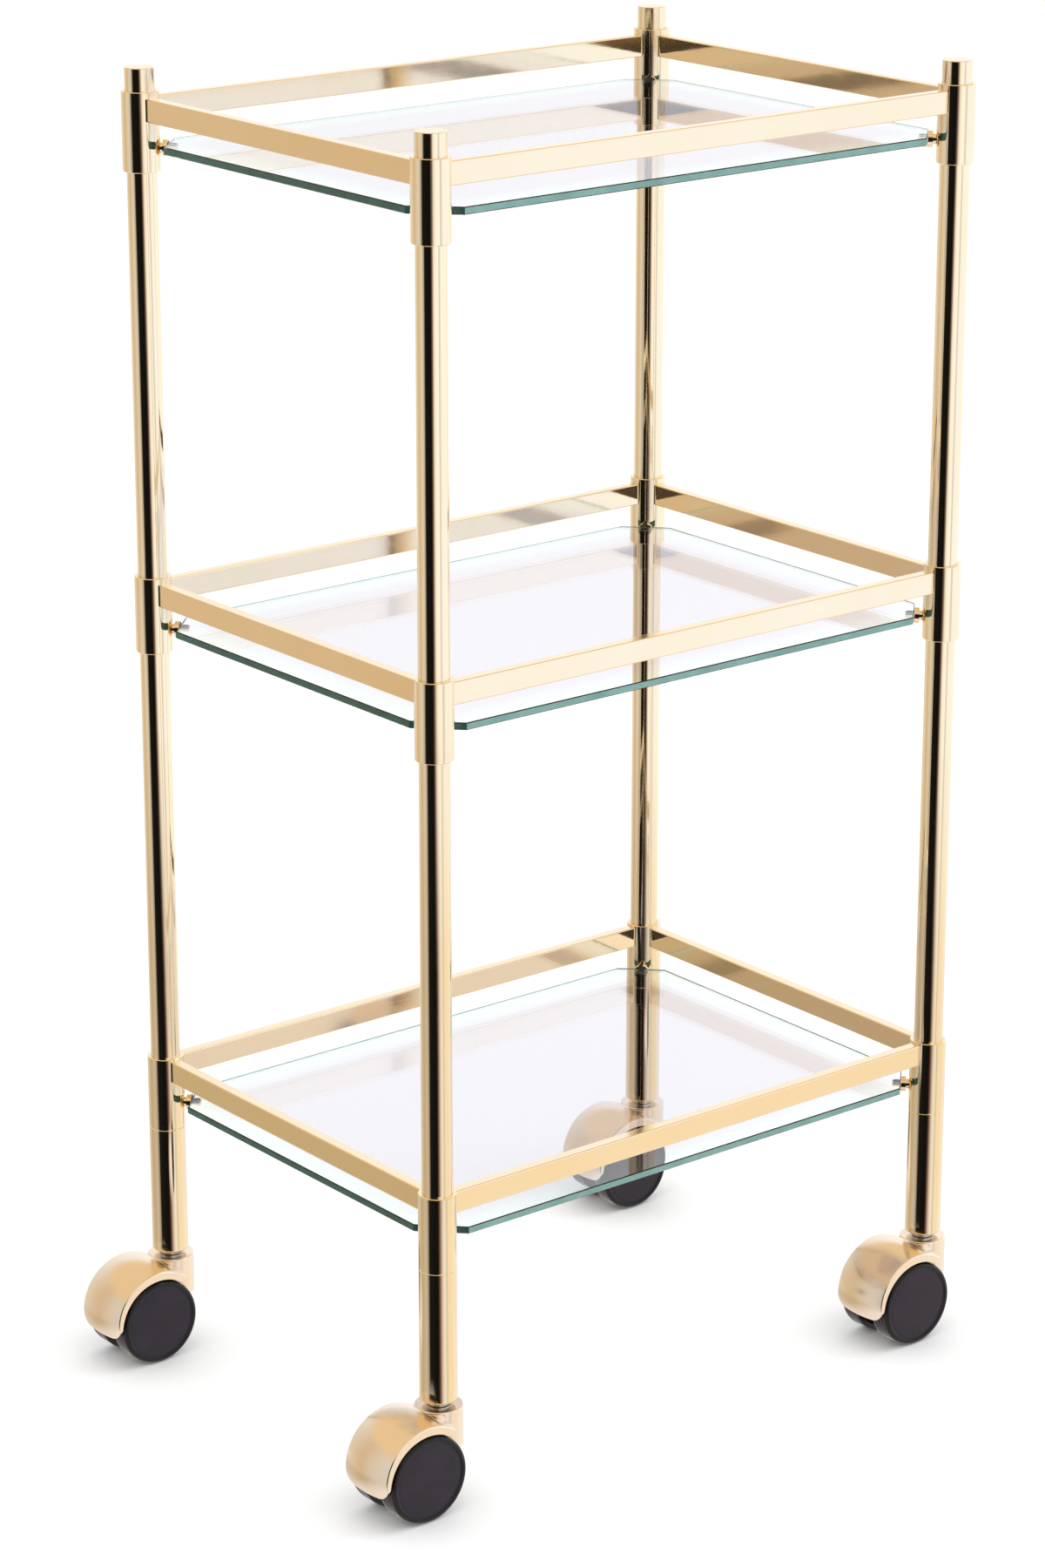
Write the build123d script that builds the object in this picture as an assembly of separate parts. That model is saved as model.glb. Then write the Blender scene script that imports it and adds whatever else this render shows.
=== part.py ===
from build123d import *

import math
import os

# Three-tier glass bar cart on four hooded twin-wheel casters. All sizes are in millimetres.
# +Z is up, +X runs along the long side, the casters trail towards -X.
# The origin lies on the floor, under the middle of the cart's outer box.

# ---- driving dimensions ----
post_spacing_x = 430.0  # post centre to post centre, long side
post_spacing_y = 306.0  # post centre to post centre, short side
cart_height = 895.0  # floor to the top of the post caps
leg_end_z = 72.5  # bottom of the leg tubes
rail_top_z = {"bottom": 215.0, "middle": 554.0, "top": 876.0}
glass_drop = 32.0  # from a rail's top to the middle of the glass below it

post_r = 10.0
post_wall = 1.2
collar_r = 12.5
slip_gap = 0.1  # radial play between a post and the collar or leg around it
collar_rise = {"bottom": 1.5, "middle": 4.0, "top": 4.0}  # collar above its rail's top
collar_length = 52.0
post_depth_in_leg = 48.0  # below the bottom collar
leg_end_round = 1.6
edge_break = 0.4  # small chamfer on cut tube ends

rail_height = 15.0
rail_width = 8.0
rail_edge_r = 0.8

cap_thickness = 2.5
cap_plug_length = 12.0
cap_edge_r = 0.6

glass_thickness = 5.0
glass_corner_cut = 25.5  # leg of the 45 degree corner cut
glass_arris = 0.6

stud_shank_r = 2.5
stud_hole_r = 2.6
stud_neck_r = 3.5
stud_head_r = 5.5
stud_head_start = 14.5  # distances along the stud are from the post's axis
stud_shoulder_end = 17.7
stud_tip = 24.0
stud_below_glass_middle = 1.0
pad_thickness = 1.0
pad_r = 2.75
pad_reach = 21.0
nut_r = 4.0
nut_start = 2.0

insert_length = 25.0
stem_r = 5.0
stem_pin_r = 4.0
stem_flange_r = 7.5
stem_flange_thickness = 1.5
stem_pin_end_z = 37.5
clip_r = 6.5
clip_thickness = 1.0
clip_groove_depth = 0.5
thread_gap = 0.02  # radial play where a thread is drawn as a plain cylinder
running_gap = 0.05  # radial play of a pin that turns in a bore

wheel_r = 30.0
wheel_inner_y = 8.2
wheel_outer_y = 23.5
wheel_rim_thickness = 4.0
wheel_disc_thickness = 3.0
wheel_hub_r = 8.0
wheel_face_r = 26.0
wheel_face_depth = 0.8
wheel_shoulder_r = 2.4
axle_r = 4.0
axle_end_y = 19.3

trail = 25.0  # stem axis to axle, horizontally
hood_half_width = 22.5
hood_rise = 3.0  # the hood's crown is centred this far above the axle
hood_crown_r = 37.0
hood_side_r = 34.0
hood_pocket_r = 31.2
hood_front_deg = 46.0  # the hood runs from here, over the top, to hood_rear_deg
hood_rear_deg = 194.0
hood_tip_r = 9.0
hood_front_r = 4.0
hood_rim_r = 1.2
web_half_thickness = 7.5
web_hub_r = 11.0
boss_r = 16.0
boss_top_z = 69.0
boss_bottom_z = 41.0
boss_edge_r = 1.0

# ---- places worked out from the driving dimensions ----
rear_reach = trail + hood_crown_r  # a caster's hood behind its stem
cart_centre_x = (rear_reach - boss_r) / 2  # centres the outer box on the origin
corners = {
    "front_left": (-1, -1),
    "front_right": (1, -1),
    "back_left": (-1, 1),
    "back_right": (1, 1),
}
tiers = ("bottom", "middle", "top")
bottom_up = (Align.CENTER, Align.CENTER, Align.MIN)
nodes = {}


def post_xy(corner):
    """The X and Y of a post's axis."""
    side_x, side_y = corners[corner]
    return cart_centre_x + side_x * post_spacing_x / 2, side_y * post_spacing_y / 2


def glass_z(tier):
    """The height of the middle of a tier's glass."""
    return rail_top_z[tier] - glass_drop


def stud_z(tier):
    return glass_z(tier) - stud_below_glass_middle


def collar_ends(tier):
    """The heights of a collar's lower and upper end."""
    high_z = rail_top_z[tier] + collar_rise[tier]
    return high_z - collar_length, high_z


def rod(radius, low_z, high_z, x=0.0, y=0.0):
    """A vertical round bar between two heights."""
    return Pos(x, y, low_z) * Cylinder(radius, high_z - low_z, align=bottom_up)


def inward_plane(corner, z):
    """A plane on a post's axis that looks to the cart's middle at 45 degrees, with its X axis up."""
    side_x, side_y = corners[corner]
    x, y = post_xy(corner)
    return Plane(origin=(x, y, z), x_dir=(0, 0, 1), z_dir=(-side_x, -side_y, 0))


def inward_rod(corner, z, radius, start, end):
    """A round bar on the inward plane's axis, from start to end away from the post's axis."""
    bar = Cylinder(radius, end - start, align=bottom_up)
    return inward_plane(corner, z) * Pos(0, 0, start) * bar


def stud_hole(corner, tier):
    return inward_rod(corner, stud_z(tier), stud_hole_r, 0, collar_r + 1)


def end_edges(bar, z):
    """The edges of a vertical bar at one of its ends."""
    return [e for e in bar.edges() if abs(e.center().Z - z) < 0.01]


# ---- frame ----


def make_post(corner):
    x, y = post_xy(corner)
    low_z = collar_ends("bottom")[0] - post_depth_in_leg
    high_z = cart_height - cap_thickness
    tube = rod(post_r, low_z, high_z, x, y) - rod(post_r - post_wall, low_z - 1, high_z + 1, x, y)
    for tier in tiers:
        tube -= stud_hole(corner, tier)
    return tube


def make_post_cap(corner):
    x, y = post_xy(corner)
    disc_z = cart_height - cap_thickness
    disc = rod(post_r, disc_z, cart_height, x, y)
    disc = fillet(disc.edges().sort_by(Axis.Z)[-1], cap_edge_r)
    plug = rod(post_r - post_wall - slip_gap, disc_z - cap_plug_length, disc_z, x, y)
    return disc + plug


def sleeve_bore(corner, low_z, high_z):
    x, y = post_xy(corner)
    return rod(post_r + slip_gap, low_z - 1, high_z + 1, x, y)


def make_collar(corner, tier):
    low_z, high_z = collar_ends(tier)
    collar = rod(collar_r, low_z, high_z, *post_xy(corner))
    collar = chamfer(end_edges(collar, low_z) + end_edges(collar, high_z), edge_break)
    return collar - sleeve_bore(corner, low_z, high_z) - stud_hole(corner, tier)


def make_leg(corner):
    """The tube below the bottom collar, with a rounded lower end."""
    high_z = collar_ends("bottom")[0]
    leg = rod(collar_r, leg_end_z, high_z, *post_xy(corner))
    leg = chamfer(end_edges(leg, high_z), edge_break)
    leg = fillet(end_edges(leg, leg_end_z), leg_end_round)
    return leg - sleeve_bore(corner, leg_end_z, high_z)


def make_rail(side, tier):
    """A flat bar on edge, coped to the round tubes at its two ends."""
    runs_along_x = side in ("front", "back")
    length = post_spacing_x if runs_along_x else post_spacing_y
    size = (length, rail_width) if runs_along_x else (rail_width, length)
    middles = {
        "front": (cart_centre_x, -post_spacing_y / 2),
        "back": (cart_centre_x, post_spacing_y / 2),
        "left": (cart_centre_x - post_spacing_x / 2, 0),
        "right": (cart_centre_x + post_spacing_x / 2, 0),
    }
    x, y = middles[side]
    low_z = rail_top_z[tier] - rail_height
    bar = Pos(x, y, low_z) * Box(size[0], size[1], rail_height, align=bottom_up)
    bar = fillet(bar.edges().filter_by(Axis.X if runs_along_x else Axis.Y), rail_edge_r)
    for corner in corners:
        if side in corner.split("_"):
            post_x, post_y = post_xy(corner)
            bar -= rod(collar_r, low_z - 1, rail_top_z[tier] + 1, post_x, post_y)
    return bar


# ---- glass shelves and what holds them ----


def make_glass(tier):
    low_z = glass_z(tier) - glass_thickness / 2
    sheet = Pos(cart_centre_x, 0, low_z) * Box(
        post_spacing_x, post_spacing_y, glass_thickness, align=bottom_up
    )
    sheet = chamfer(sheet.edges().filter_by(Axis.Z), glass_corner_cut)
    rim = sheet.faces().sort_by(Axis.Z)[0].edges() + sheet.faces().sort_by(Axis.Z)[-1].edges()
    return chamfer(rim, glass_arris)


def make_stud(corner, tier):
    """A stud that screws into the post. Its head is a full disc, cut down to a half-round seat."""
    z = stud_z(tier)
    stud = inward_rod(corner, z, stud_shank_r, nut_start + 0.5, collar_r)
    stud += inward_rod(corner, z, stud_neck_r, collar_r, stud_head_start)
    stud += inward_rod(corner, z, stud_head_r, stud_head_start, stud_tip)
    seat_below_axis = glass_thickness / 2 + pad_thickness - stud_below_glass_middle
    seat_size = (stud_head_r + seat_below_axis, 4 * stud_head_r, stud_tip - stud_shoulder_end + 1)
    upper_half = Box(*seat_size, align=(Align.MIN, Align.CENTER, Align.MIN))
    stud -= inward_plane(corner, z) * Pos(-seat_below_axis, 0, stud_shoulder_end) * upper_half
    return stud


def make_stud_nut(corner, tier):
    """A round nut against the inside of the post's wall."""
    post_bore_r = post_r - post_wall
    end = math.sqrt(post_bore_r**2 - nut_r**2) - 0.1
    body = inward_rod(corner, stud_z(tier), nut_r, nut_start, end)
    return body - inward_rod(corner, stud_z(tier), stud_shank_r + thread_gap, nut_start - 1, end + 1)


def make_glass_pad(corner, tier):
    side_x, side_y = corners[corner]
    x, y = post_xy(corner)
    step = pad_reach / math.sqrt(2)
    high_z = glass_z(tier) - glass_thickness / 2
    return rod(pad_r, high_z - pad_thickness, high_z, x - side_x * step, y - side_y * step)


# ---- caster ----
# A caster's moving parts are drawn round the axle's middle, with the stem at +X, and then put in place.


def caster_place(corner):
    x, y = post_xy(corner)
    return Pos(x - trail, y, wheel_r)


def make_leg_insert(corner):
    x, y = post_xy(corner)
    plug = rod(post_r, leg_end_z, leg_end_z + insert_length, x, y)
    return plug - rod(stem_r + thread_gap, leg_end_z - 1, leg_end_z + insert_length + 1, x, y)


def clip_low_z():
    return boss_bottom_z - 0.5 - clip_thickness


def make_stem(corner):
    """The stem: a shank in the leg, a flange over the boss, and the pin that the caster swivels on."""
    x, y = post_xy(corner)
    flange_z = boss_top_z + 0.5
    stem = rod(stem_r, flange_z, leg_end_z + insert_length, x, y)
    stem += rod(stem_flange_r, flange_z, flange_z + stem_flange_thickness, x, y)
    stem += rod(stem_pin_r, stem_pin_end_z, flange_z, x, y)
    groove_z = clip_low_z()
    groove = rod(stem_pin_r + 1, groove_z, groove_z + clip_thickness, x, y)
    groove -= rod(stem_pin_r - clip_groove_depth, groove_z, groove_z + clip_thickness, x, y)
    return stem - groove


def make_stem_clip(corner):
    x, y = post_xy(corner)
    low_z = clip_low_z()
    high_z = low_z + clip_thickness
    bore_r = stem_pin_r - clip_groove_depth + thread_gap
    return rod(clip_r, low_z, high_z, x, y) - rod(bore_r, low_z - 1, high_z + 1, x, y)


def axle_rod(radius, low_y, high_y):
    """A round bar on the axle's line between two Y values."""
    return Pos(0, low_y, 0) * Rot(-90, 0, 0) * Cylinder(radius, high_y - low_y, align=bottom_up)


def hood_shell():
    """The crowned cover, turned about the axle from the front edge to the rear tip, still solid inside."""
    outline = Polyline(
        (hood_side_r, hood_half_width, 0),
        (0, hood_half_width, 0),
        (0, -hood_half_width, 0),
        (hood_side_r, -hood_half_width, 0),
    )
    crown = ThreePointArc(
        (hood_side_r, -hood_half_width, 0), (hood_crown_r, 0, 0), (hood_side_r, hood_half_width, 0)
    )
    section = make_face(outline + crown)
    turned = revolve(section, axis=Axis.Y, revolution_arc=hood_rear_deg - hood_front_deg)
    return Rot(0, -hood_rear_deg, 0) * turned


def hood_ends(shell, side_x):
    """The straight edges at the shell's two sides, on its rear end (-1) or its front end (1)."""
    lines = shell.edges().filter_by(GeomType.LINE)
    at_side = [e for e in lines if abs(e.center().Y) > hood_half_width - 0.1]
    return [e for e in at_side if e.center().X * side_x > 0]


def crown_rims(shell):
    """The long arcs where the crown meets the shell's two flat sides."""
    arcs = shell.edges().filter_by(GeomType.CIRCLE)
    return [e for e in arcs if abs(abs(e.center().Y) - hood_half_width) < 0.01]


def make_hood():
    shell = hood_shell()
    shell = fillet(hood_ends(shell, -1), hood_tip_r)
    shell = fillet(hood_ends(shell, 1), hood_front_r)
    shell = fillet(crown_rims(shell), hood_rim_r)
    boss = rod(boss_r, boss_bottom_z - wheel_r, boss_top_z - wheel_r, trail)
    boss = fillet(boss.edges().sort_by(Axis.Z)[-1], boss_edge_r)
    hood = Pos(0, 0, hood_rise) * shell + boss
    for side in (-1, 1):
        near, far = sorted((side * web_half_thickness, side * (hood_half_width + 1)))
        hood -= axle_rod(hood_pocket_r, near, far)
    hood += axle_rod(web_hub_r, -web_half_thickness, web_half_thickness)
    hood -= axle_rod(axle_r + thread_gap, -web_half_thickness - 1, web_half_thickness + 1)
    hood -= rod(stem_pin_r + running_gap, boss_bottom_z - wheel_r - 1, boss_top_z - wheel_r + 1, trail)
    return hood


def make_axle():
    axle = axle_rod(axle_r, -axle_end_y, axle_end_y)
    return chamfer(axle.edges().filter_by(GeomType.CIRCLE), edge_break)


def make_wheel(side):
    """One wheel of the pair: a rim and hub joined by a disc on the outer side, which closes the hub."""
    disc_y = wheel_outer_y - wheel_disc_thickness
    wheel = axle_rod(wheel_r, wheel_inner_y, wheel_outer_y)
    outer_rim = wheel.edges().filter_by(GeomType.CIRCLE).sort_by(Axis.Y)[-1]
    wheel = fillet(outer_rim, wheel_shoulder_r)
    wheel -= axle_rod(wheel_r - wheel_rim_thickness, wheel_inner_y - 1, disc_y)
    wheel += axle_rod(wheel_hub_r, wheel_inner_y, disc_y)
    wheel -= axle_rod(axle_r + running_gap, wheel_inner_y - 1, disc_y)
    wheel -= axle_rod(wheel_face_r, wheel_outer_y - wheel_face_depth, wheel_outer_y + 1)
    return wheel if side > 0 else wheel.mirror(Plane.XZ)


# ---- the named parts ----


def build():
    for corner in corners:
        nodes[f"post_{corner}"] = make_post(corner)
        nodes[f"leg_{corner}"] = make_leg(corner)
        for tier in tiers:
            nodes[f"collar_{tier}_{corner}"] = make_collar(corner, tier)
    for tier in tiers:
        for side in ("front", "back", "left", "right"):
            nodes[f"rail_{tier}_{side}"] = make_rail(side, tier)
        nodes[f"glass_shelf_{tier}"] = make_glass(tier)
        nodes[f"glass_studs_{tier}"] = Compound(children=[make_stud(c, tier) for c in corners])
    nodes["post_caps"] = Compound(children=[make_post_cap(c) for c in corners])
    nodes["stud_nuts"] = Compound(children=[make_stud_nut(c, t) for t in tiers for c in corners])
    nodes["glass_pads"] = Compound(children=[make_glass_pad(c, t) for t in tiers for c in corners])
    nodes["leg_inserts"] = Compound(children=[make_leg_insert(c) for c in corners])
    nodes["caster_stems"] = Compound(children=[make_stem(c) for c in corners])
    nodes["stem_clips"] = Compound(children=[make_stem_clip(c) for c in corners])
    hood = make_hood()
    axle = make_axle()
    for corner, (_, side_y) in corners.items():
        place = caster_place(corner)
        nodes[f"caster_hood_{corner}"] = place * hood
        nodes[f"axle_{corner}"] = place * axle
        nodes[f"wheel_{corner}_outer"] = place * make_wheel(side_y)
        nodes[f"wheel_{corner}_inner"] = place * make_wheel(-side_y)


build()
os.makedirs("parts", exist_ok=True)
for name, shape in nodes.items():
    export_step(shape, f"parts/{name}.step")
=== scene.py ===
import math

import bmesh
import bpy
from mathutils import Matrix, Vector


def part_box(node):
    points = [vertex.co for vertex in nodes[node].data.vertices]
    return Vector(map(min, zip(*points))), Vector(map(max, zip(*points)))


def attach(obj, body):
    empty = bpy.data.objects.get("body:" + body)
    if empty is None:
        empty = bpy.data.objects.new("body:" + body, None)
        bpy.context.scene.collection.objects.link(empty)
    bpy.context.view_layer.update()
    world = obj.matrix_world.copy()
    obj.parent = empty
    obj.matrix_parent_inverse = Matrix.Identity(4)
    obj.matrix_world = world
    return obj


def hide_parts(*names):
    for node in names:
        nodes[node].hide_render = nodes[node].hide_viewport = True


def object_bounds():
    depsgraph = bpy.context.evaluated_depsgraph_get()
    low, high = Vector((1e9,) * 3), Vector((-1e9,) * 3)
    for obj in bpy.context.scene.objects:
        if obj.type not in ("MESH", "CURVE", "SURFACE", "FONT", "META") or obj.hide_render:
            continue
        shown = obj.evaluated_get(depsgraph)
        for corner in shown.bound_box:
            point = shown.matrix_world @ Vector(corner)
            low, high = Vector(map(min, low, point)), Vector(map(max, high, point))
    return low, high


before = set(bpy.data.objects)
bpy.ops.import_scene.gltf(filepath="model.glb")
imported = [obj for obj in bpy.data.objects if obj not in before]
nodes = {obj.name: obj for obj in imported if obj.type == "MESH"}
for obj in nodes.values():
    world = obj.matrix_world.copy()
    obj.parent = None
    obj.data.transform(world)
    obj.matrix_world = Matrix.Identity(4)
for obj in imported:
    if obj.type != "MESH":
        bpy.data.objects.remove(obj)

cad_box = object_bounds()

CORNERS = ("front_left", "front_right", "back_left", "back_right")
MM = 0.001

# ---- camera ----
CAMERA_AZIMUTH = math.radians(-38.67)  # from straight in front, towards the cart's left end
CAMERA_ELEVATION = math.radians(18.11)
CAMERA_DISTANCE = 3.0
CAMERA_LENS = 102.3
SENSOR_HEIGHT = 36.0
AIM_OFFSET = Vector((-0.0016, -0.0019, -0.0351))  # from the middle of the cart's box


def toward_camera():
    """The direction from the cart to the camera."""
    return Vector((
        math.sin(CAMERA_AZIMUTH) * math.cos(CAMERA_ELEVATION),
        -math.cos(CAMERA_AZIMUTH) * math.cos(CAMERA_ELEVATION),
        math.sin(CAMERA_ELEVATION),
    ))


def make_camera():
    data = bpy.data.cameras.new("camera")
    data.sensor_fit = "VERTICAL"
    data.sensor_height = SENSOR_HEIGHT
    data.lens = CAMERA_LENS
    data.clip_end = 100.0
    camera = bpy.data.objects.new("camera", data)
    bpy.context.scene.collection.objects.link(camera)
    aim = (cad_box[0] + cad_box[1]) / 2 + AIM_OFFSET
    back = toward_camera()
    camera.location = aim + back * CAMERA_DISTANCE
    camera.rotation_euler = (-back).to_track_quat("-Z", "Y").to_euler()
    bpy.context.scene.camera = camera


# ---- node helpers ----


class Tree:
    """A small wrapper that makes and links shader nodes."""

    def __init__(self, tree):
        self.tree = tree
        tree.nodes.clear()

    def node(self, kind, inputs=None, **settings):
        made = self.tree.nodes.new(kind)
        for key, value in settings.items():
            setattr(made, key, value)
        for key, value in (inputs or {}).items():
            self.put(value, made.inputs[key])
        return made

    def put(self, value, socket):
        if isinstance(value, bpy.types.NodeSocket):
            self.tree.links.new(value, socket)
        else:
            socket.default_value = value

    def math(self, operation, *values):
        made = self.tree.nodes.new("ShaderNodeMath")
        made.operation = operation
        for socket, value in zip(made.inputs, values):
            self.put(value, socket)
        return made.outputs[0]

    def ramp(self, factor, stops, interpolation="LINEAR"):
        made = self.tree.nodes.new("ShaderNodeValToRGB")
        made.color_ramp.interpolation = interpolation
        elements = made.color_ramp.elements
        while len(elements) > 1:
            elements.remove(elements[-1])
        for i, (place, value) in enumerate(stops):
            colour = value if isinstance(value, tuple) else (value, value, value)
            if i:
                elements.new(place)
            elements[i].position = place
            elements[i].color = (*colour, 1.0)
        self.put(factor, made.inputs["Fac"])
        return made.outputs["Color"]

    def mix(self, factor, a, b):
        made = self.tree.nodes.new("ShaderNodeMix")
        made.data_type = "RGBA"
        self.put(factor, made.inputs["Factor"])
        self.put(a, made.inputs[6])
        self.put(b, made.inputs[7])
        return made.outputs[2]

    def remap(self, value, low, high, new_low, new_high):
        """Carries low..high over to new_low..new_high, and holds the ends beyond them."""
        made = self.tree.nodes.new("ShaderNodeMapRange")
        for socket, given in zip(made.inputs, (value, low, high, new_low, new_high)):
            self.put(given, socket)
        return made.outputs[0]

    def noise(self, vector, scale, detail=3.0, rough=0.5):
        inputs = {"Vector": vector, "Scale": scale, "Detail": detail, "Roughness": rough}
        return self.node("ShaderNodeTexNoise", inputs).outputs["Fac"]

    def place(self):
        """The point on the object, in metres in the cart's frame."""
        return self.node("ShaderNodeTexCoord").outputs["Object"]

    def axes(self, vector):
        return self.node("ShaderNodeSeparateXYZ", {"Vector": vector}).outputs

    def distance(self, a, b):
        return self.node("ShaderNodeVectorMath", {0: a, 1: b}, operation="DISTANCE").outputs["Value"]

    def mix_shaders(self, factor, a, b):
        return self.node("ShaderNodeMixShader", {0: factor, 1: a.outputs[0], 2: b.outputs[0]})

    def surface(self, shader, output="ShaderNodeOutputMaterial"):
        self.node(output, {"Surface": shader.outputs[0]})


def rgba(r, g, b):
    return (r, g, b, 1.0)


# ---- studio ----
# The metal mirrors a studio with a dark gap between a warm wall on the left and a bright softbox on the
# right. Each stop is (degrees from the camera's direction, brightness or colour higher up, the same lower
# down). Positive degrees turn to the right.
STUDIO_BRIGHTNESS = 2.0
STUDIO_RING = (
    (-180, 0.52, 0.46),
    (-140, (0.42, 0.41, 0.38), (0.37, 0.35, 0.31)),
    (-118, (0.38, 0.33, 0.26), (0.32, 0.27, 0.20)),
    (-102, (0.345, 0.262, 0.168), (0.283, 0.223, 0.131)),
    (-88, (0.37, 0.33, 0.27), (0.29, 0.25, 0.20)),
    (-70, (0.38, 0.37, 0.35), (0.30, 0.28, 0.26)),
    (-57, (0.25, 0.23, 0.20), (0.21, 0.18, 0.14)),
    (-48, 0.005, 0.006),
    (-4, 0.003, 0.003),
    (6, (0.10, 0.07, 0.05), (0.008, 0.004, 0.003)),
    (16, (0.44, 0.42, 0.42), (0.10, 0.06, 0.05)),
    (28, (0.53, 0.54, 0.56), (0.34, 0.30, 0.28)),
    (40, (0.54, 0.55, 0.585), (0.47, 0.45, 0.43)),
    (48, (0.54, 0.55, 0.585), (0.47, 0.45, 0.43)),
    (53, (0.36, 0.37, 0.35), (0.35, 0.34, 0.29)),
    (60, (0.38, 0.40, 0.38), (0.37, 0.36, 0.31)),
    (67, (0.515, 0.545, 0.605), (0.495, 0.431, 0.337)),
    (90, (0.515, 0.545, 0.605), (0.495, 0.431, 0.337)),
    (120, 0.56, (0.50, 0.48, 0.44)),
    (180, 0.52, 0.46),
)
CEILING = (0.43, 0.33, 0.20)
NEAR_FLOOR = (0.47, 0.44, 0.42)
# Heights in the studio run from 0 straight down, past 0.5 at the horizon, to 1 straight up.
LOW_TO_HIGH_RING = (0.325, 0.352)
RING_TO_CEILING = (0.70, 0.80)
FLOOR_TO_RING = (0.15, 0.27)
PLAIN_STRENGTH = 1.3  # the even white light that everything but the mirrored rays gets

FLOOR_SIZE = 60.0
PAPER = 0.86
# The patch of floor beside each caster that glows for mirrored rays only, though it is no lamp, so that it
# shows as a painted reflection in its hood: its place from the hood's left side, and its soft edge
PATCH_OFFSET = Vector((-0.050, -0.025, 0.0))
PATCH_FADE = (0.03, 0.085)

LAMP_AIM = (0, 0, 0.3)
LAMPS = (  # name, place, width, power
    ("key", (2.2, -1.4, 2.6), 1.6, 14),
    ("fill", (-1.6, -2.4, 2.2), 2.0, 4),
)


def mirrored_ray(t):
    """1 on a ray that a glossy surface has reflected and no matt one has scattered, 0 on the others."""
    path = t.node("ShaderNodeLightPath").outputs
    reflected = t.math("GREATER_THAN", path["Glossy Depth"], 0.5)
    not_scattered = t.math("LESS_THAN", path["Diffuse Depth"], 0.5)
    return t.math("MULTIPLY", reflected, not_scattered)


def ring_stops(column):
    """The ramp stops of one column of the studio's ring, with the camera's direction in the ramp's middle."""
    return [(0.5 + stop[0] / 360, stop[column]) for stop in STUDIO_RING]


def make_world():
    world = bpy.data.worlds.new("studio")
    bpy.context.scene.world = world
    world.use_nodes = True
    world.cycles.sampling_method = "NONE"
    t = Tree(world.node_tree)
    direction = t.node("ShaderNodeTexCoord").outputs["Generated"]
    axes = t.axes(direction)
    azimuth = t.math("ARCTAN2", axes["Y"], axes["X"])
    back = toward_camera()
    middle = math.atan2(back.y, back.x)
    turns = t.math("DIVIDE", t.math("SUBTRACT", azimuth, middle), math.tau)
    around = t.math("FRACT", t.math("ADD", turns, 1.5))
    height = t.remap(axes["Z"], -1.0, 1.0, 0.0, 1.0)
    low_part = t.remap(height, *LOW_TO_HIGH_RING, 1.0, 0.0)
    ring = t.mix(low_part, t.ramp(around, ring_stops(1)), t.ramp(around, ring_stops(2)))
    up = t.ramp(height, ((RING_TO_CEILING[0], 0.0), (RING_TO_CEILING[1], 1.0)), "EASE")
    down = t.ramp(height, ((FLOOR_TO_RING[0], 1.0), (FLOOR_TO_RING[1], 0.0)), "EASE")
    mirrored = t.mix(down, t.mix(up, ring, rgba(*CEILING)), rgba(*NEAR_FLOOR))
    studio = t.node("ShaderNodeBackground", {"Color": mirrored, "Strength": STUDIO_BRIGHTNESS})
    plain = t.node("ShaderNodeBackground", {"Color": rgba(1.0, 1.0, 1.0), "Strength": PLAIN_STRENGTH})
    t.surface(t.mix_shaders(mirrored_ray(t), plain, studio), "ShaderNodeOutputWorld")


def make_floor_material():
    """White paper, which the metal mirrors only in a patch beside each caster, where it glows though it is no
    lamp: a painted reflection.
    """
    material, t = new_material("floor_paper")
    place = t.place()
    near = 0.0
    for corner in CORNERS:
        low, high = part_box(f"caster_hood_{corner}")
        patch = Vector((low.x, (low.y + high.y) / 2, 0.0)) + PATCH_OFFSET
        near = t.math("MAXIMUM", near, t.remap(t.distance(place, patch), *PATCH_FADE, 1.0, 0.0))
    paper = t.node("ShaderNodeBsdfDiffuse", {"Color": rgba(PAPER, PAPER, PAPER)})
    clear = t.node("ShaderNodeBsdfTransparent")
    # A glow that only mirrored rays see, though the floor is no lamp: the painted reflection in the hoods
    bright = t.node("ShaderNodeEmission", {"Color": rgba(*NEAR_FLOOR), "Strength": STUDIO_BRIGHTNESS})
    mirrored = t.mix_shaders(near, clear, bright)
    t.surface(t.mix_shaders(mirrored_ray(t), paper, mirrored))
    return material


def make_floor():
    mesh = bpy.data.meshes.new("floor")
    half = FLOOR_SIZE / 2
    corners = [(-half, -half, 0), (half, -half, 0), (half, half, 0), (-half, half, 0)]
    mesh.from_pydata(corners, [], [(0, 1, 2, 3)])
    mesh.materials.append(make_floor_material())
    floor = bpy.data.objects.new("floor", mesh)
    bpy.context.scene.collection.objects.link(floor)


def make_lamp(name, place, width, power):
    """A square softbox that lights the cart but doesn't show in the metal."""
    data = bpy.data.lights.new(name, "AREA")
    data.shape = "SQUARE"
    data.size = width
    data.energy = power
    lamp = bpy.data.objects.new(name, data)
    lamp.location = place
    lamp.rotation_euler = (Vector(LAMP_AIM) - Vector(place)).to_track_quat("-Z", "Y").to_euler()
    lamp.visible_glossy = False
    bpy.context.scene.collection.objects.link(lamp)


# ---- materials ----
# Noise scales are in waves per metre. A noise's value stays mostly within these bands.
WIDE_BAND = (0.3, 0.7)
CLOUD_BAND = (0.35, 0.7)
SMEAR_BAND = (0.35, 0.75)
UPPER_BAND = (0.45, 0.75)  # only the noise's peaks, for marks with clean surface between them

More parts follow.
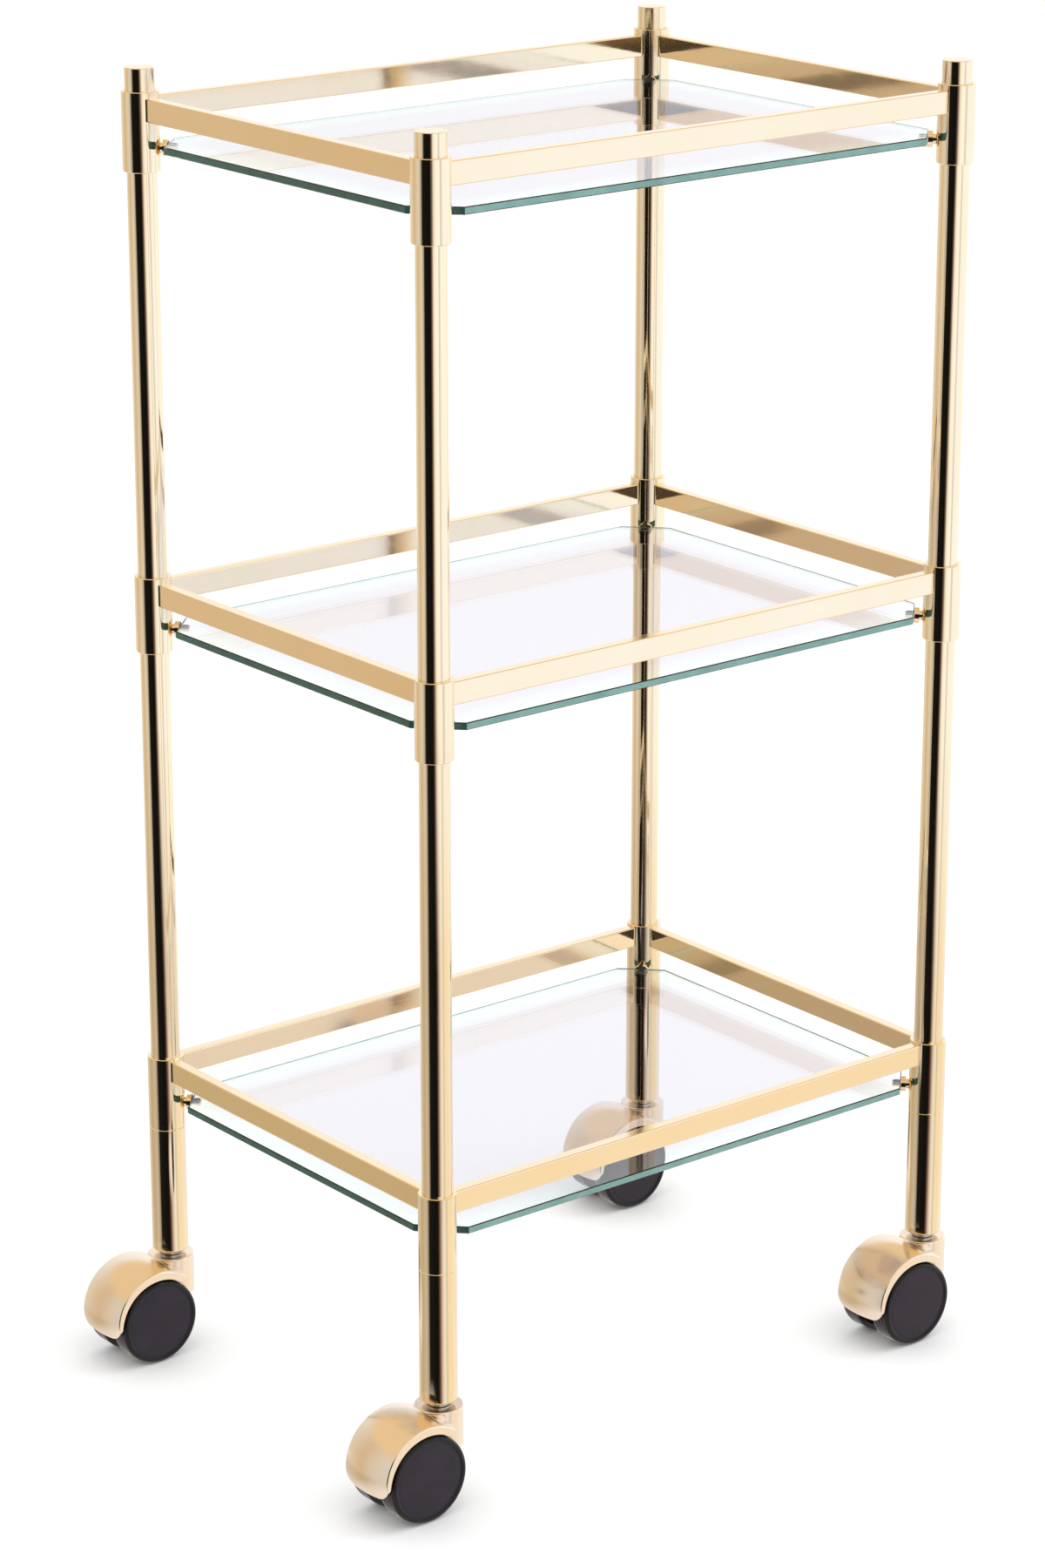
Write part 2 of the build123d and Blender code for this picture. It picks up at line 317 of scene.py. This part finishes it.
GOLD = (0.965, 0.83, 0.62)
DEEP_GOLD = (0.955, 0.805, 0.575)
HOOD_GOLD = (0.95, 0.84, 0.72)
DEEP_HOOD_GOLD = (0.935, 0.81, 0.67)
DRAWN_UPRIGHT = (1.0, 1.0, 0.02)  # drawing lines that run along Z
DRAWN_LEVEL = (0.02, 0.02, 1.0)  # and along X and Y
UNDRAWN = (1.0, 1.0, 1.0)
DRAWN_LINE_SCALE = 900.0
DRAWN_LINE_DEPTH = 0.0001
DRAWN_LINE_ROUGHNESS = 0.015
GOLD_CLOUD_SCALE = 14.0
GOLD_SMEAR_SCALE = 55.0

GLASS_IOR = 1.5
GLASS_SHEET = (0.80, 0.79, 0.845)
# Painted edge glow: the sheet is painted clearer and greener near its outline, where light carried along the
# glass shows
GLASS_RIM_GLOW = (0.87, 0.95, 0.945)
GLASS_RIM_GLOW_FADE = (0.003, 0.028)  # how far in from the outline the painted rim glow is full, and where it ends
GLASS_EDGE = (0.02, 0.075, 0.06)
# Painted light: the long edges are painted much lighter than the end edges, by the way they face
GLASS_LIT_LONG_EDGE = (0.24, 0.44, 0.41)
GLASS_EDGE_STREAK = (0.05, 0.17, 0.15)
GLASS_EDGE_ROUGHNESS = 0.22
GLASS_EDGE_TRANSMISSION = 0.25
GLASS_FOR_LIGHT = (0.985, 0.99, 0.99)  # what shadow and diffuse rays lose in the glass
GLASS_STREAK_SCALE = 60.0
GLASS_SMUDGE_SCALE = 9.0
GLASS_SMUDGE_ROUGHNESS = 0.02

PAD_BLACK = (0.05, 0.05, 0.045)
PAD_DUST = (0.09, 0.09, 0.08)
FACE_BLACK = (0.019, 0.015, 0.023)
FACE_DUST = (0.032, 0.025, 0.038)
TYRE_BLACK = (0.004, 0.003, 0.004)
TYRE_DUST = (0.009, 0.008, 0.009)
BLACK_DUST_SCALE = 45.0
STEEL = (0.60, 0.60, 0.61)
PALE_STEEL = (0.72, 0.71, 0.70)
STEEL_RING_STRETCH = (20.0, 20.0, 1500.0)
STEEL_PATCH_SCALE = 120.0


def new_material(name):
    material = bpy.data.materials.new(name)
    material.use_nodes = True
    return material, Tree(material.node_tree)


def make_gold(name, tone, deep_tone, roughness, stretch):
    """Polished, plated metal: faint drawing lines along the bar, soft clouds in the tint, and fine wear."""
    material, t = new_material(name)
    place = t.place()
    drawn = t.node("ShaderNodeMapping", {"Vector": place, "Scale": stretch}).outputs[0]
    clouds = t.noise(place, GOLD_CLOUD_SCALE, 4.0)
    lines = t.noise(drawn, DRAWN_LINE_SCALE, 2.0)
    smear = t.noise(place, GOLD_SMEAR_SCALE, 5.0, 0.6)
    colour = t.mix(t.remap(clouds, *CLOUD_BAND, 0.0, 1.0), rgba(*tone), rgba(*deep_tone))
    wear = t.remap(smear, *SMEAR_BAND, roughness * 0.7, roughness * 1.5)
    gloss = t.math("ADD", wear, t.remap(lines, *WIDE_BAND, 0.0, DRAWN_LINE_ROUGHNESS))
    bump = t.node("ShaderNodeBump", {"Strength": 0.05, "Distance": DRAWN_LINE_DEPTH, "Height": lines})
    t.surface(t.node("ShaderNodeBsdfPrincipled", {
        "Base Color": colour, "Metallic": 1.0, "Roughness": gloss, "Normal": bump.outputs[0],
    }))
    return material


def glass_tint_and_glow(t, place, normal, edge):
    """Faintly violet sheet, with a painted glow that makes it clearer and greener near its outline, and
    streaked green edges whose long sides are painted lighter.
    """
    low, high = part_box("glass_shelf_top")
    middle = (low + high) / 2
    axes = t.axes(place)
    along = t.math("ABSOLUTE", t.math("SUBTRACT", axes["X"], middle.x))
    from_end = t.math("SUBTRACT", (high - middle).x, along)
    from_side = t.math("SUBTRACT", (high - middle).y, t.math("ABSOLUTE", axes["Y"]))
    # The painted glow is full at the outline and fades out further in
    rim = t.remap(t.math("MINIMUM", from_end, from_side), *GLASS_RIM_GLOW_FADE, 1.0, 0.0)
    sheet_tint_and_glow = t.mix(rim, rgba(*GLASS_SHEET), rgba(*GLASS_RIM_GLOW))
    # Edges that face along Y get the lighter colour: painted light by facing
    lit_long_side = t.math("GREATER_THAN", t.math("ABSOLUTE", normal["Y"]), 0.9)
    edge_tint_and_light = t.mix(lit_long_side, rgba(*GLASS_EDGE), rgba(*GLASS_LIT_LONG_EDGE))
    streaks = t.noise(place, GLASS_STREAK_SCALE, 3.0)
    edge_tint_and_light = t.mix(t.remap(streaks, *WIDE_BAND, 0.0, 0.35), edge_tint_and_light, rgba(*GLASS_EDGE_STREAK))
    return t.mix(edge, sheet_tint_and_glow, edge_tint_and_light)


def make_glass():
    """Clear float glass, green where light runs along it, with darker green polished edges."""
    material, t = new_material("clear_glass")
    normal = t.axes(t.node("ShaderNodeTexCoord").outputs["Normal"])
    edge = t.math("LESS_THAN", t.math("ABSOLUTE", normal["Z"]), 0.5)
    place = t.place()
    smudge = t.noise(place, GLASS_SMUDGE_SCALE, 4.0)
    clear_rough = t.remap(smudge, *UPPER_BAND, 0.0, GLASS_SMUDGE_ROUGHNESS)
    shader = t.node("ShaderNodeBsdfPrincipled", {
        "Base Color": glass_tint_and_glow(t, place, normal, edge),
        "Roughness": t.math("MAXIMUM", clear_rough, t.math("MULTIPLY", edge, GLASS_EDGE_ROUGHNESS)),
        "IOR": GLASS_IOR,
        "Transmission Weight": t.remap(edge, 0.0, 1.0, 1.0, GLASS_EDGE_TRANSMISSION),
    })
    clear = t.node("ShaderNodeBsdfTransparent", {"Color": rgba(*GLASS_FOR_LIGHT)})
    path = t.node("ShaderNodeLightPath").outputs
    lighting = t.math("MAXIMUM", path["Is Shadow Ray"], path["Is Diffuse Ray"])
    t.surface(t.mix_shaders(lighting, shader, clear))
    return material


def make_black(name, colour, pale, roughness, grain_scale, grain_depth, level=0.5):
    """Moulded black plastic or rubber with a fine grain and a trace of dust."""
    material, t = new_material(name)
    place = t.place()
    grain = t.noise(place, grain_scale, 3.0, 0.6)
    dust = t.noise(place, BLACK_DUST_SCALE, 5.0, 0.65)
    tint = t.mix(t.remap(dust, *UPPER_BAND, 0.0, 0.6), rgba(*colour), rgba(*pale))
    gloss = t.remap(dust, *SMEAR_BAND, roughness * 0.85, roughness * 1.2)
    bump = t.node("ShaderNodeBump", {"Strength": 0.35, "Distance": grain_depth, "Height": grain})
    t.surface(t.node("ShaderNodeBsdfPrincipled", {
        "Base Color": tint, "Roughness": gloss, "Normal": bump.outputs[0], "Specular IOR Level": level,
    }))
    return material


def make_steel():
    """Turned, zinc-plated steel."""
    material, t = new_material("plain_steel")
    place = t.place()
    turned = t.node("ShaderNodeMapping", {"Vector": place, "Scale": STEEL_RING_STRETCH}).outputs[0]
    rings = t.noise(turned, 1.0, 2.0)
    patches = t.noise(place, STEEL_PATCH_SCALE, 4.0)
    tint = t.mix(patches, rgba(*STEEL), rgba(*PALE_STEEL))
    gloss = t.math("ADD", t.remap(patches, *WIDE_BAND, 0.22, 0.34), t.remap(rings, *WIDE_BAND, 0.0, 0.08))
    bump = t.node("ShaderNodeBump", {"Strength": 0.2, "Distance": 0.0001, "Height": rings})
    t.surface(t.node("ShaderNodeBsdfPrincipled", {
        "Base Color": tint, "Metallic": 1.0, "Roughness": gloss, "Normal": bump.outputs[0],
    }))
    return material


tube_gold = make_gold("gold_tube", GOLD, DEEP_GOLD, 0.055, DRAWN_UPRIGHT)
bar_gold = make_gold("gold_bar", GOLD, DEEP_GOLD, 0.07, DRAWN_LEVEL)
fitting_gold = make_gold("gold_fitting", GOLD, DEEP_GOLD, 0.09, UNDRAWN)
hood_gold = make_gold("gold_hood", HOOD_GOLD, DEEP_HOOD_GOLD, 0.19, UNDRAWN)
glass = make_glass()
pad_rubber = make_black("soft_pad", PAD_BLACK, PAD_DUST, 0.5, 2500.0, 0.00005)
wheel_face = make_black("wheel_face", FACE_BLACK, FACE_DUST, 0.40, 2200.0, 0.00006, 0.22)
wheel_rim = make_black("wheel_rim", TYRE_BLACK, TYRE_DUST, 0.20, 1500.0, 0.00003, 0.3)
steel = make_steel()

# The first entry that a node's name starts with gives its material.
MATERIAL_OF = (
    ("post_caps", fitting_gold), ("post_", tube_gold), ("leg_inserts", steel), ("leg_", tube_gold),
    ("collar_", tube_gold), ("rail_", bar_gold), ("glass_shelf", glass), ("glass_studs", fitting_gold),
    ("glass_pads", pad_rubber), ("caster_hood", hood_gold), ("wheel_", wheel_face), ("", steel),
)


def paint_nodes():
    for name, obj in nodes.items():
        obj.data.materials.clear()
        obj.data.materials.append(next(made for start, made in MATERIAL_OF if name.startswith(start)))


# ---- wheels ----
# A wheel's outline is turned about its axle. Each point is (radius, distance from the wheel's inner side), in
# millimetres, from the bore, round the back and the tread, to the middle of the face.
WHEEL_R = 29.98
WHEEL_WIDTH = 15.28
BORE_R = 4.05
HUB_R = 8.0
RIM_INNER_R = 26.0
DISC_BACK = 12.3
BACK_EDGE = 0.4
RIM_EDGE = 0.5
FILLET = 1.0
WHEEL_BACK = (
    (0.0, DISC_BACK), (BORE_R, DISC_BACK), (BORE_R, BACK_EDGE), (BORE_R + BACK_EDGE, 0.0),
    (HUB_R - BACK_EDGE, 0.0), (HUB_R, BACK_EDGE), (HUB_R, DISC_BACK - FILLET), (HUB_R + FILLET, DISC_BACK),
    (RIM_INNER_R - FILLET, DISC_BACK), (RIM_INNER_R, DISC_BACK - FILLET), (RIM_INNER_R, RIM_EDGE),
    (RIM_INNER_R + RIM_EDGE, 0.0),
)
TREAD_CORNER_R = 0.8
TREAD_GROOVES = (3.4, 6.9, 10.4)
GROOVE_HALF_WIDTH = 0.35
GROOVE_DEPTH = 0.35
GROOVE_SLOPE = 0.1
SHOULDER_R = 2.6
# The step from the shoulder down to the face, as (radius, depth below the wheel's outer side)
TYRE_STEP = ((26.5, 0.0), (26.1, 0.23))
FACE_STEP = ((26.0, 0.73), (25.6, 0.88), (24.9, 0.88), (24.6, 0.73))
FACE_DOME = 0.5
FACE_RINGS = 12
SEGMENTS = 112
SHARP_ANGLE = math.radians(40)


def arc(middle, radius, start, end, steps):
    """Points on a circle's arc, in degrees, in the outline's plane."""
    angles = [math.radians(start + (end - start) * i / steps) for i in range(steps + 1)]
    return [(middle[0] + radius * math.cos(a), middle[1] + radius * math.sin(a)) for a in angles]


def groove(middle):
    """One groove round the tread, with slightly sloping walls."""
    bottom = WHEEL_R - GROOVE_DEPTH
    mouth = GROOVE_HALF_WIDTH + GROOVE_SLOPE
    root = GROOVE_HALF_WIDTH - GROOVE_SLOPE
    return [
        (WHEEL_R, middle - mouth), (bottom, middle - root),
        (bottom, middle + root), (WHEEL_R, middle + mouth),
    ]


def below_side(steps):
    return [(radius, WHEEL_WIDTH - depth) for radius, depth in steps]


def wheel_outline():
    """The points, and the numbers of the glossy tyre's first and last point."""
    points = list(WHEEL_BACK)
    first = len(points) - 1
    points += arc((WHEEL_R - TREAD_CORNER_R, TREAD_CORNER_R), TREAD_CORNER_R, -90, 0, 4)
    for middle in TREAD_GROOVES:
        points += groove(middle)
    points += arc((WHEEL_R - SHOULDER_R, WHEEL_WIDTH - SHOULDER_R), SHOULDER_R, 0, 90, 8)
    points += below_side(TYRE_STEP)
    last = len(points) - 1
    points += below_side(FACE_STEP)
    rim_r, rim_y = points[-1]
    for i in range(1, FACE_RINGS + 1):
        radius = rim_r * (1 - i / FACE_RINGS)
        points.append((radius, rim_y + FACE_DOME * (1 - (radius / rim_r) ** 2)))
    return points, first, last


def join_rings(made, here, there, material_index):
    """A band of faces between two rings, or a fan where one of them is a single point on the axle."""
    for i in range(SEGMENTS):
        k = (i + 1) % SEGMENTS
        if len(here) == 1:
            corners = (here[0], there[k], there[i])
        elif len(there) == 1:
            corners = (here[i], here[k], there[0])
        else:
            corners = (here[i], here[k], there[k], there[i])
        face = made.faces.new(corners)
        face.smooth = True
        face.material_index = material_index


def wheel_mesh(name, middle, inner_y, outward):
    """The outline turned about the line through middle along Y, from inner_y in the outward direction."""
    points, first, last = wheel_outline()
    made = bmesh.new()
    rings = []
    for radius, depth in points:
        y = inner_y + outward * depth * MM
        count = SEGMENTS if radius > 0 else 1
        r = radius * MM
        ring = []
        for i in range(count):
            angle = math.tau * i / count
            x, z = middle.x + r * math.cos(angle), middle.z + r * math.sin(angle)
            ring.append(made.verts.new((x, y, z)))
        rings.append(ring)
    for number, (here, there) in enumerate(zip(rings, rings[1:])):
        join_rings(made, here, there, 1 if first <= number < last else 0)
    bmesh.ops.recalc_face_normals(made, faces=made.faces)
    mesh = bpy.data.meshes.new(name)
    made.to_mesh(mesh)
    made.free()
    mesh.set_sharp_from_angle(angle=SHARP_ANGLE)
    mesh.materials.append(wheel_face)
    mesh.materials.append(wheel_rim)
    return mesh


def build_wheel(corner, which):
    """Stands in for a CAD wheel, in the same place, with its face away from the hood."""
    node = f"wheel_{corner}_{which}"
    low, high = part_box(node)
    middle = (low + high) / 2
    hood_low, hood_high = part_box(f"caster_hood_{corner}")
    outward = 1 if middle.y > (hood_low.y + hood_high.y) / 2 else -1
    inner_y = low.y if outward > 0 else high.y
    wheel = bpy.data.objects.new(node + "_turned", wheel_mesh(node + "_turned", middle, inner_y, outward))
    bpy.context.scene.collection.objects.link(wheel)
    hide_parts(node)
    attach(wheel, f"wheel_body_{corner}_{which}")


paint_nodes()
for corner in CORNERS:
    for which in ("outer", "inner"):
        build_wheel(corner, which)

make_camera()
make_world()
make_floor()
for name, place, width, power in LAMPS:
    make_lamp(name, place, width, power)
bpy.context.scene.view_settings.view_transform = "Standard"
